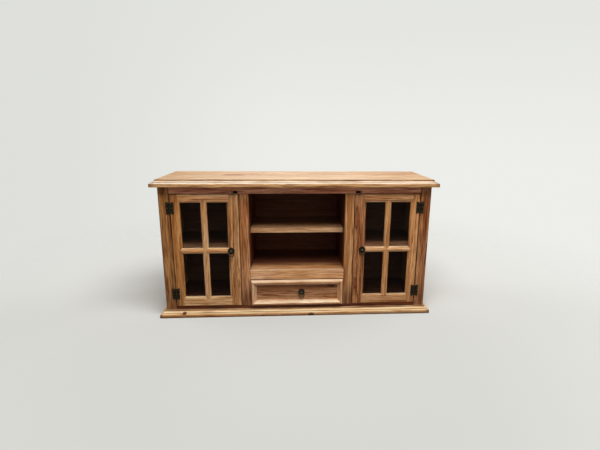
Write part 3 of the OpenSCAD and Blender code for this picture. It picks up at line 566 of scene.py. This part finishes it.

# %% [markdown]
# Age shows in three ways, and painted light and shade go with it. Faces that look up are rubbed and bleached,
# and lighter still as painted light, so the mouldings have light upper slopes. Dirt sits along a board's
# edges and ends, in the glued seams between boards and in the small step of the mouldings, and draws the
# joints;
# along the edges, at the ends of the top's moulding and in the steps it is painted shade as well. And the
# wood is darker towards the foot of the stiles, and painted shade darkens the foot of the plinth, the top of
# the drawer's front, the depth of the bay, the shelves behind the doors and the inner face of the back.


# %% Age, painted light and painted shade
def wear_and_light(tree, share):
    """A face is rubbed, and lighter as painted light, by that share where it looks up, and less the steeper
    it is.
    """
    normal = add(tree, "ShaderNodeNewGeometry").outputs["Normal"]
    rise = add(tree, "ShaderNodeSeparateXYZ", {0: normal}).outputs["Z"]
    return add(tree, "ShaderNodeMapRange", {0: rise, 1: 0.15, 2: 0.75, 4: share},
               interpolation_type="SMOOTHSTEP")


def grime_on_rims(tree, parts, rims, share, reach, ends, jointed):
    """Dirt and painted shade come in with that share, by reach from the edges and by ends from the ends, in
    millimetres.
    """
    end = add(tree, "ShaderNodeMath", {0: rims[0], 1: reach / ends}, operation="MULTIPLY")
    rim = add(tree, "ShaderNodeMath", {0: end, 1: rims[1]}, operation="MINIMUM")
    if jointed:  # the glued seams are drawn about a millimetre wide, or they wouldn't show
        seam = add(tree, "ShaderNodeMath", {0: parts[1], 1: jointed}, operation="FLOORED_MODULO")
        seam = add(tree, "ShaderNodeMath", {0: seam, 1: jointed / 2}, operation="PINGPONG")
        seam = add(tree, "ShaderNodeMath", {0: seam, 1: 0.2}, operation="SUBTRACT")
        rim = add(tree, "ShaderNodeMath", {0: rim, 1: seam}, operation="MINIMUM")
    return add(tree, "ShaderNodeMapRange", {0: rim, 1: 0.4, 2: reach, 3: share, 4: 0.0},
               interpolation_type="SMOOTHSTEP")


def dirt_and_shade_in_step(tree, height, share):
    """Dirt and painted shade lie in a moulding's small step, at that height in metres, and a millimetre above
    and below.
    """
    place = add(tree, "ShaderNodeTexCoord").outputs["Object"]
    off = add(tree, "ShaderNodeSeparateXYZ", {0: place}).outputs["Z"]
    off = add(tree, "ShaderNodeMath", {0: off, 1: height}, operation="SUBTRACT")
    off = add(tree, "ShaderNodeMath", {0: off}, operation="ABSOLUTE")
    return add(tree, "ShaderNodeMapRange", {0: off, 1: 0.0005, 2: 0.0015, 3: share, 4: 0.0},
               interpolation_type="SMOOTHSTEP")


def rise_along(tree, axis, start, end, share):
    """Rises smoothly along an axis, from nothing at start to that share at end, both in metres."""
    place = add(tree, "ShaderNodeTexCoord").outputs["Object"]
    place = add(tree, "ShaderNodeSeparateXYZ", {0: place}).outputs[axis]
    return add(tree, "ShaderNodeMapRange", {0: place, 1: start, 2: end, 4: share},
               interpolation_type="SMOOTHSTEP")


print("wear, dirt and shade are ready")

# %% [markdown]
# One function then gives a board its finish. A board picks its seed at random, and its pith too where none
# is said, from numbers that its own name starts, so that changing one board leaves the others alone. The
# varnish is the shader's own satin coat over the wood. Figure, red, wear and dirt are given as shares: of the
# dark lines, of the red streaks, of the wear with the painted light of faces that look up, and of the dirt
# with the painted shade at edges, ends and steps. Ring_width, wander, reach and ends are in millimetres, and
# so is the width of the boards in a jointed panel. A knot has a place in metres, a radius in millimetres
# and a length that is so many times its width.


# %% A board's finish
def board_wood(name, node, order, tone, ring_width=6.0, figure=0.8, red=0.35, wander=46.0, pith=None,
               knots=(), knot_strength=0.86, sap=None, worn=0.75, grime=0.8, reach=3.2, ends=None, step=None,
               shade=None, jointed=0.0, mitred=False, rough=0.0, coat=0.12):
    """Planed and varnished pine. order is the axes along, across and through the board, as in "xzy"."""
    mat, tree = new_material(name)
    numbers = random.Random(node + "0")
    seed = numbers.uniform(0, 40)
    if pith is None:
        pith = (numbers.uniform(-45, 45), numbers.choice((-1, 1)) * numbers.uniform(35, 90))
    axes, parts, rims = board_place(tree, node, order)
    board = add(tree, "ShaderNodeCombineXYZ", dict(enumerate(parts)))
    if mitred:
        board, seed = past_the_mitre(tree, parts, rims, board, seed)
    if jointed:  # boards side by side: each strip of that width, in millimetres, is another board
        strip = add(tree, "ShaderNodeMath", {0: parts[1], 1: jointed}, operation="DIVIDE")
        strip = add(tree, "ShaderNodeMath", {0: strip}, operation="FLOOR")
        seed = add(tree, "ShaderNodeMath", {0: strip, 1: NEXT_STRIP, 2: seed}, operation="MULTIPLY_ADD")
        paler = add(tree, "ShaderNodeTexWhiteNoise", {"W": seed}, noise_dimensions="1D").outputs["Value"]
    inputs = {"Board": board, "Seed": seed, "Pith": (0, *pith), "Ring Width": ring_width, "Wander": wander,
              "Figure": figure, "Red Share": red, "Knot Strength": knot_strength}
    paleness, cast = STAIN.get(node, (1, "even"))
    for look, hex_value in zip(LOOKS, TONES[tone]):
        stained = Vector(map(operator.mul, linear(hex_value), CASTS[cast])) * paleness
        inputs[look] = (*(stained * min(1, PALEST / max(stained))), 1.0)
    if jointed:
        inputs["Sap"] = paler
    if worn:
        inputs["Worn And Lit"] = wear_and_light(tree, worn)
    if grime:
        inputs["Grime And Shade"] = grime_on_rims(tree, parts, rims, grime, reach, ends or reach, jointed)
    if step:
        in_step = dirt_and_shade_in_step(tree, *step)
        inputs["Grime And Shade"] = add(tree, "ShaderNodeMath", {0: inputs["Grime And Shade"], 1: in_step}, operation="MAXIMUM")
    if sap:  # pale sapwood, from one line across the board to the other, in millimetres from its middle
        inputs["Sap"] = add(tree, "ShaderNodeMapRange", {0: parts[1], 1: sap[0], 2: sap[1]},
                            interpolation_type="SMOOTHSTEP")
    if shade:
        inputs["Shade"] = rise_along(tree, *shade)
    low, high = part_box(node)
    for key, (where, radius, stretch) in zip(("Knot A", "Knot B"), knots):
        spot = (Vector(where) - (low + high) / 2) * 1000
        inputs[key] = (spot[axes[0]], spot[axes[1]], radius)
        inputs[key + " Length"] = stretch
    pine = add(tree, "ShaderNodeGroup", inputs, node_tree=grain).outputs
    relief = add(tree, "ShaderNodeBump", {"Height": pine["Height"], "Strength": 0.35, "Distance": 0.0006})
    duller = add(tree, "ShaderNodeMath", {0: pine["Roughness"], 1: rough})
    skin = add(tree, "ShaderNodeBsdfPrincipled", {
        "Base Color": pine["Colour"], "Roughness": duller, "Normal": relief, "Specular IOR Level": 0.3,
        "Coat Weight": coat, "Coat Roughness": 0.28})
    add(tree, "ShaderNodeOutputMaterial", {0: skin})
    return mat


def finish(node, mat):
    ob = frame["nodes"][node]
    ob.data.materials.clear()
    ob.data.materials.append(mat)


def wood(node, order, tone, **more):
    finish(node, board_wood("varnished_pine_" + node, node, order, tone, **more))
    varnished.append(node)


varnished = []
print("a board's finish is ready, for any of", len(frame["nodes"]), "pieces")

# %% [markdown]
# ### Top, face frame and plinth
#
# The top is the palest part. It is bleached all over by use, so its tone is pale and no wear and no painted
# light are added, and one faint knot lies left of the middle. The stiles stand upright, so their grain runs
# along Z, and the rails lie along X. The rail under the top and the rail at the foot are darker, redder
# boards. The mouldings of the top and of the plinth have a small step with a dark line of dirt and painted
# shade, and the ends of the top's moulding are darkened by dirt and painted shade. The stiles are darker
# towards the foot, and painted shade darkens the lower band of the plinth's front towards the floor.

# %% Top and frame
TOP_STEP = (0.6955, 0.8)  # its height in metres, and how dark the dirt and painted shade in it are
PLINTH_STEP = (0.022, 0.8)
wood("top_panel", "xyz", "pale", ring_width=9, figure=0.7, red=0.6, jointed=119, worn=0.0, grime=0.4,
     knots=[((-0.330, 0.008, 0.709), 26, 1.7)], knot_strength=0.2)
for side, order in (("front", "xzy"), ("left", "yzx"), ("right", "yzx")):
    # dirt comes in 40 mm from their ends and lies in their step, and both are painted shade as well
    wood("top_moulding_" + side, order, "edge", ring_width=7, figure=0.7, reach=8, ends=40, step=TOP_STEP,
         worn=0.95)
for side, outer, middle in (("left_", "honey", "amber"), ("right_", "amber", "honey")):
    wood(side + "outer_stile", "zxy", outer, ring_width=6, red=0.5, reach=5, shade=("Z", 0.25, 0.05, 0.35))
    wood(side + "middle_stile", "zxy", middle, ring_width=5, figure=0.9 if side == "left_" else 0.6, red=0.7,
         pith=(150, 20), wander=20, grime=0.45, shade=("Z", 0.22, 0.07, 0.5))
wood("top_rail", "xzy", "russet", ring_width=6, red=0.5, figure=0.6)
wood("bottom_rail", "xzy", "umber", ring_width=6)
wood("bay_rail", "xzy", "straw", ring_width=6, figure=0.5, red=0.5, grime=0.4, worn=0.3, coat=0.1, rough=0.15)
# painted shade darkens the lower band of the plinth's front towards the floor
wood("plinth_front", "xzy", "straw", grime=0.9, reach=8, ends=20, step=PLINTH_STEP, worn=0.95,
     shade=("Z", 0.017, 0.003, 0.6),
     knots=[((0.071, -0.188, 0.006), 8, 1.7), ((-0.577, -0.188, 0.021), 4, 2.2)])
for side in ("left", "right"):
    wood("plinth_" + side, "yzx", "straw", grime=0.9, reach=12, step=PLINTH_STEP, worn=0.95)
    wood(side + "_side", "zyx", "honey", ring_width=8, figure=0.45, jointed=110)
print("varnished pieces:", len(varnished))

# %% [markdown]
# ### Doors
#
# Each door is joined from two stiles, two rails, an upright bar and two short cross bars, with beads behind
# the panes. The free stiles have a strip of paler sapwood, and the one of the right door has two reddish
# knots, long ones, because the saw met the branches at a slant.

# %% Doors
for side, tone in (("left_", "honey"), ("right_", "straw")):
    wood(side + "hinge_stile", "zxy", tone, ring_width=5, figure=0.6, shade=("Z", 0.20, 0.05, 0.3))
    wood(side + "door_top_rail", "xzy", "straw", ring_width=5, red=0.5)
    wood(side + "upright_bar", "zxy", "straw", ring_width=5, figure=0.5, red=0.2, grime=0.7, ends=9)
    wood(side + "beads", "zxy", "amber", ring_width=4)
for side, rail, red, bars in (("left_", "straw", 0.2, "straw"), ("right_", "honey", 0.4, "light")):
    wood(side + "door_bottom_rail", "xzy", rail, ring_width=5, figure=0.6, red=red)
    wood(side + "cross_bars", "xzy", bars, ring_width=5, worn=0.7, figure=0.6, red=0.2)
wood("left_free_stile", "zxy", "honey", ring_width=5, red=0.5, grime=0.5, sap=(8, 14))
wood("right_free_stile", "zxy", "amber", ring_width=5, figure=1.0, red=0.8, grime=0.5, sap=(-12, -18),
     knots=[((0.299, -0.161, 0.512), 9, 5), ((0.301, -0.161, 0.165), 8, 3)], knot_strength=0.1)
print("varnished pieces with the doors:", len(varnished))

# %% [markdown]
# ### Bay, drawer and the inside
#
# The deck, the shelf and the shelves behind the doors are varnished like the front, and painted shade darkens
# them towards the back. The partitions and the bottom have a dark, dull tone, and painted shade makes the
# inner face of the back darker still, which is what gives such a stand its deep bay. The drawer's moulding is
# one node, but four strips with their own grain, and painted shadow darkens the top of the drawer's front.

# %% Bay and inside
face_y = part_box("left_middle_stile")[0].y
rear_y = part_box("back_boards")[1].y


def painted_shade_towards_back(start, end, share):
    """Painted shade darkens the wood between those two depths behind the face frame, in metres."""
    return ("Y", face_y + start, face_y + end, share)


# painted shade: the deck, the bay's shelf and the shelves behind the doors darken towards the back
wood("bay_deck", "xyz", "honey", ring_width=7, jointed=107, worn=0.0,
     shade=painted_shade_towards_back(0.042, 0.130, 0.96))
wood("bay_shelf", "xyz", "light", ring_width=7, worn=0.0, grime=0.0, figure=0.4,
     shade=painted_shade_towards_back(0.090, 0.220, 0.85))
for node in ("left_shelf", "right_shelf"):
    wood(node, "xyz", "russet", ring_width=7, worn=0.0, shade=painted_shade_towards_back(0.075, 0.135, 0.85))
for node, order in (("left_partition", "zyx"), ("right_partition", "zyx"), ("bottom_board", "xyz")):
    wood(node, order, "inner", ring_width=8, coat=0.0, rough=0.15, worn=0.0)
# painted shade darkens the inner face of the back
wood("back_boards", "xzy", "honey", ring_width=8, figure=0.5, coat=0.0, rough=0.15, jointed=127.6, worn=0.0,
     shade=("Y", rear_y - 0.001, rear_y - 0.004, 0.86))
# painted shadow darkens the top of the drawer's front, under its moulding
wood("drawer_front", "xzy", "amber", ring_width=5, figure=0.9, red=0.5, shade=("Z", 0.110, 0.170, 0.4),
     knots=[((0.176, -0.161, 0.158), 9, 2.0)], knot_strength=0.8)
wood("drawer_moulding", "xzy", "straw", ring_width=5, figure=0.5, grime=0.3, worn=0.95, mitred=True)
print("varnished pieces with the bay and the drawer:", len(varnished))

# %% [markdown]
# What nobody sees, such as battens, runners and the drawer's box, is bare sawn wood: paler, dull, without
# varnish and with little figure.

# %% Bare wood
bare = {"base_bearers": "yxz", "battens": "yxz", "door_stops": "xzy", "drawer_runners": "yxz",
        "drawer_kickers": "yxz", "drawer_sides": "yzx", "drawer_back": "xzy", "drawer_bottom": "xyz"}
for node, order in bare.items():
    finish(node, board_wood("bare_sawn_pine_" + node, node, order, "bare", coat=0.0, rough=0.3, red=0.1,
                            worn=0.0, grime=0.0, figure=0.5))
print("bare sawn pieces:", len(bare))

# %% [markdown]
# ## Iron, steel and glass
#
# The hinges and pulls are wrought iron, blackened in oil and waxed: a metal, very dark, with a broken sheen
# from the hammer. The marks are about 3 mm apart. Where the rosettes of the pulls stand out, a pale painted
# highlight lies on them. The small catches over the doors are spring steel, browned.

# %% Ironwork
rosette_front, rosette_back = (corner.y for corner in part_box("drawer_rosette"))


def iron(name, low_tone, high_tone, painted_glint=0.0):
    """The last argument is how strongly a pale painted highlight lies on the parts of a pull that stand out.
    """
    mat, tree = new_material(name)
    here = add(tree, "ShaderNodeTexCoord").outputs["Object"]
    marks = add(tree, "ShaderNodeTexVoronoi", {"Vector": here, "Scale": 330.0, "Smoothness": 0.6},
                feature="SMOOTH_F1").outputs["Distance"]
    cloud = add(tree, "ShaderNodeTexNoise", {"Vector": here, "Scale": 120.0, "Detail": 3.0}).outputs["Fac"]
    tone = add(tree, "ShaderNodeMix", {0: cloud, 6: linear(low_tone), 7: linear(high_tone)}, data_type="RGBA")
    if painted_glint:
        # a pale painted highlight on the parts of the pull that stand out
        glint_mask = rise_along(tree, "Y", rosette_back - 0.0065, rosette_front + 0.001, painted_glint)
        tone = add(tree, "ShaderNodeMix", {0: glint_mask, 6: tone, 7: linear("B9B29C")}, data_type="RGBA")
    rough = add(tree, "ShaderNodeMapRange", {0: cloud, 1: 0.3, 2: 0.7, 3: 0.24, 4: 0.42})
    relief = add(tree, "ShaderNodeBump", {"Height": marks, "Strength": 0.5, "Distance": 0.0008})
    skin = add(tree, "ShaderNodeBsdfPrincipled", {"Base Color": tone, "Metallic": 0.85, "Roughness": rough,
                                                  "Normal": relief})
    add(tree, "ShaderNodeOutputMaterial", {0: skin})
    return mat


black_iron = iron("blackened_iron", "3D372A", "6F6753")
glinting_iron = iron("black_iron_with_painted_glint", "3A362C", "6A6454", painted_glint=0.8)
browned_steel = iron("browned_spring_steel", "2A2019", "4A3A2E")
for node in ("hinge_frame_leaves", "left_door_leaves", "right_door_leaves"):
    finish(node, black_iron)
for pull in ("left", "right", "drawer"):
    finish(pull + "_ring", black_iron)
    finish(pull + "_rosette", glinting_iron)
finish("door_catches", browned_steel)
print("the drawer's rosette stands out %.1f mm" % ((rosette_back - rosette_front) * 1000))

# %% [markdown]
# ### Hinge screws
#
# Each leaf is held by three slotted screws with domed heads, 6 mm across. They are waxed iron too, paler than
# the leaves. The heads are all alike and only their slots point anywhere, so Geometry Nodes set one head on
# each of a list of points and turn it by a random angle with a fixed seed. One head is a flattened ball with
# a groove cut through it.


# %% Screw heads
def screw_tree(material):
    g = bpy.data.node_groups.new("hinge_screws", "GeometryNodeTree")
    g.is_modifier = True
    g.interface.new_socket("Geometry", in_out="INPUT", socket_type="NodeSocketGeometry")
    sizes = {"Head Radius": 0.003, "Head Height": 0.0009, "Slot Width": 0.0007, "Slot Depth": 0.0005,
             "Seed": 7}
    for name, value in sizes.items():
        kind = "Int" if name == "Seed" else "Float"
        s = g.interface.new_socket(name, in_out="INPUT", socket_type="NodeSocket" + kind)
        s.default_value = value
    g.interface.new_socket("Geometry", in_out="OUTPUT", socket_type="NodeSocketGeometry")
    given = add(g, "NodeGroupInput").outputs

    ball = add(g, "GeometryNodeMeshUVSphere", {"Segments": 20, "Rings": 10, "Radius": 1.0}).outputs["Mesh"]
    wide, high = given["Head Radius"], given["Head Height"]
    flat = add(g, "ShaderNodeCombineXYZ", {0: wide, 1: high, 2: wide})
    head = add(g, "GeometryNodeTransform", {"Geometry": ball, "Scale": flat})
    long = add(g, "ShaderNodeMath", {0: wide, 1: 2.4}, operation="MULTIPLY")
    deep = add(g, "ShaderNodeMath", {0: given["Slot Depth"], 1: 2.0}, operation="MULTIPLY")
    bar = add(g, "ShaderNodeCombineXYZ", {0: long, 1: deep, 2: given["Slot Width"]})
    bar = add(g, "GeometryNodeMeshCube", {"Size": bar}).outputs["Mesh"]
    out = add(g, "ShaderNodeMath", {0: high, 1: -1.0}, operation="MULTIPLY")
    out = add(g, "ShaderNodeCombineXYZ", {1: out})
    bar = add(g, "GeometryNodeTransform", {"Geometry": bar, "Translation": out})
    head = add(g, "GeometryNodeMeshBoolean", {"Mesh 1": head, "Mesh 2": bar}, operation="DIFFERENCE")
    turn = add(g, "FunctionNodeRandomValue", {2: 0.0, 3: math.pi, "Seed": given["Seed"]}, data_type="FLOAT")
    turn = add(g, "ShaderNodeCombineXYZ", {1: turn.outputs[1]})
    heads = add(g, "GeometryNodeInstanceOnPoints", {"Points": given["Geometry"], "Instance": head,
                                                    "Rotation": turn})
    plain = add(g, "GeometryNodeRealizeInstances", {0: heads})
    done = add(g, "GeometryNodeSetMaterial", {"Geometry": plain, "Material": material})
    add(g, "NodeGroupOutput", {0: done})
    return g


screw_nodes = screw_tree(iron("waxed_iron_screws", "6B6758", "A59F8B"))
print("the tree of the screw heads takes", len(screw_nodes.nodes), "nodes")

# %% [markdown]
# Points for the two leaves that each door carries and for those on the frame make three meshes, because
# each mesh rides on one body. The nodes are then applied, because a piece that moves with a body has to be
# a plain mesh.


# %% Screws
def screws(name, points, body, seed):
    mesh = bpy.data.meshes.new(name)
    mesh.from_pydata(points, [], [])
    ob = new_object(name, mesh)
    maker = ob.modifiers.new("heads", "NODES")
    maker.node_group = screw_nodes
    for item in screw_nodes.interface.items_tree:
        if item.in_out == "INPUT" and item.name == "Seed":
            maker[item.identifier] = seed
    made = bpy.data.meshes.new_from_object(ob.evaluated_get(bpy.context.evaluated_depsgraph_get()))
    ob.modifiers.clear()
    ob.data = made
    made.name = name
    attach(ob, body)
    print(name, "has", len(points), "heads,", len(made.polygons), "faces, on", body)


HALF_LEAF = 0.030  # the screws' places on a leaf, in metres
APART = 0.021
FROM_PIN = 0.0125
BEFORE_STILE = 0.0021  # just clear of a leaf, which is 2 mm thick
frame_screws = []
for side, reach, seed in (("left_", FROM_PIN, 3), ("right_", -FROM_PIN, 4)):
    pin = next(j for j in frame["joints"] if j["name"] == side + "door_hinge")["pos_m"]
    low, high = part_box(side + "door_leaves")
    heights = [z + step for z in (low.z + HALF_LEAF, high.z - HALF_LEAF) for step in (-APART, 0.0, APART)]
    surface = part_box(side + "hinge_stile")[0].y - BEFORE_STILE
    screws(side + "door_screws", [(pin[0] + reach, surface, z) for z in heights], side + "door", seed)
    frame_screws += [(pin[0] - reach, surface, z) for z in heights]
screws("frame_screws", frame_screws, "carcass", seed=11)

# %% [markdown]
# ### Panes
#
# Window glass is nearly clear, with a faint green cast, and mirrors the room a little at a slant. Drawn
# glass isn't quite flat, so its ripples are part of the shader, a few centimetres apart. For the lamps it
# is clear, or the cabinets behind it would be black.


# %% Glass
def window_glass():
    mat, tree = new_material("window_glass")
    here = add(tree, "ShaderNodeTexCoord").outputs["Object"]
    ripple = add(tree, "ShaderNodeTexNoise", {"Vector": here, "Scale": 14.0, "Detail": 1.0}).outputs["Fac"]
    relief = add(tree, "ShaderNodeBump", {"Height": ripple, "Strength": 0.25, "Distance": 0.001})
    pane = add(tree, "ShaderNodeBsdfPrincipled", {"Base Color": linear("EAF2F0"), "Roughness": 0.02,
                                                  "IOR": 1.5, "Transmission Weight": 1.0, "Normal": relief})
    clear = add(tree, "ShaderNodeBsdfTransparent", {"Color": linear("E6F0EE")})
    shadow = add(tree, "ShaderNodeLightPath").outputs["Is Shadow Ray"]
    both = add(tree, "ShaderNodeMixShader", {0: shadow, 1: pane, 2: clear})
    add(tree, "ShaderNodeOutputMaterial", {0: both})
    return mat


glass = window_glass()
finish("left_glass", glass)
finish("right_glass", glass)
low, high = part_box("left_glass")
print("the left door's panes span %.0f by %.0f mm" % ((high.x - low.x) * 1000, (high.z - low.z) * 1000))
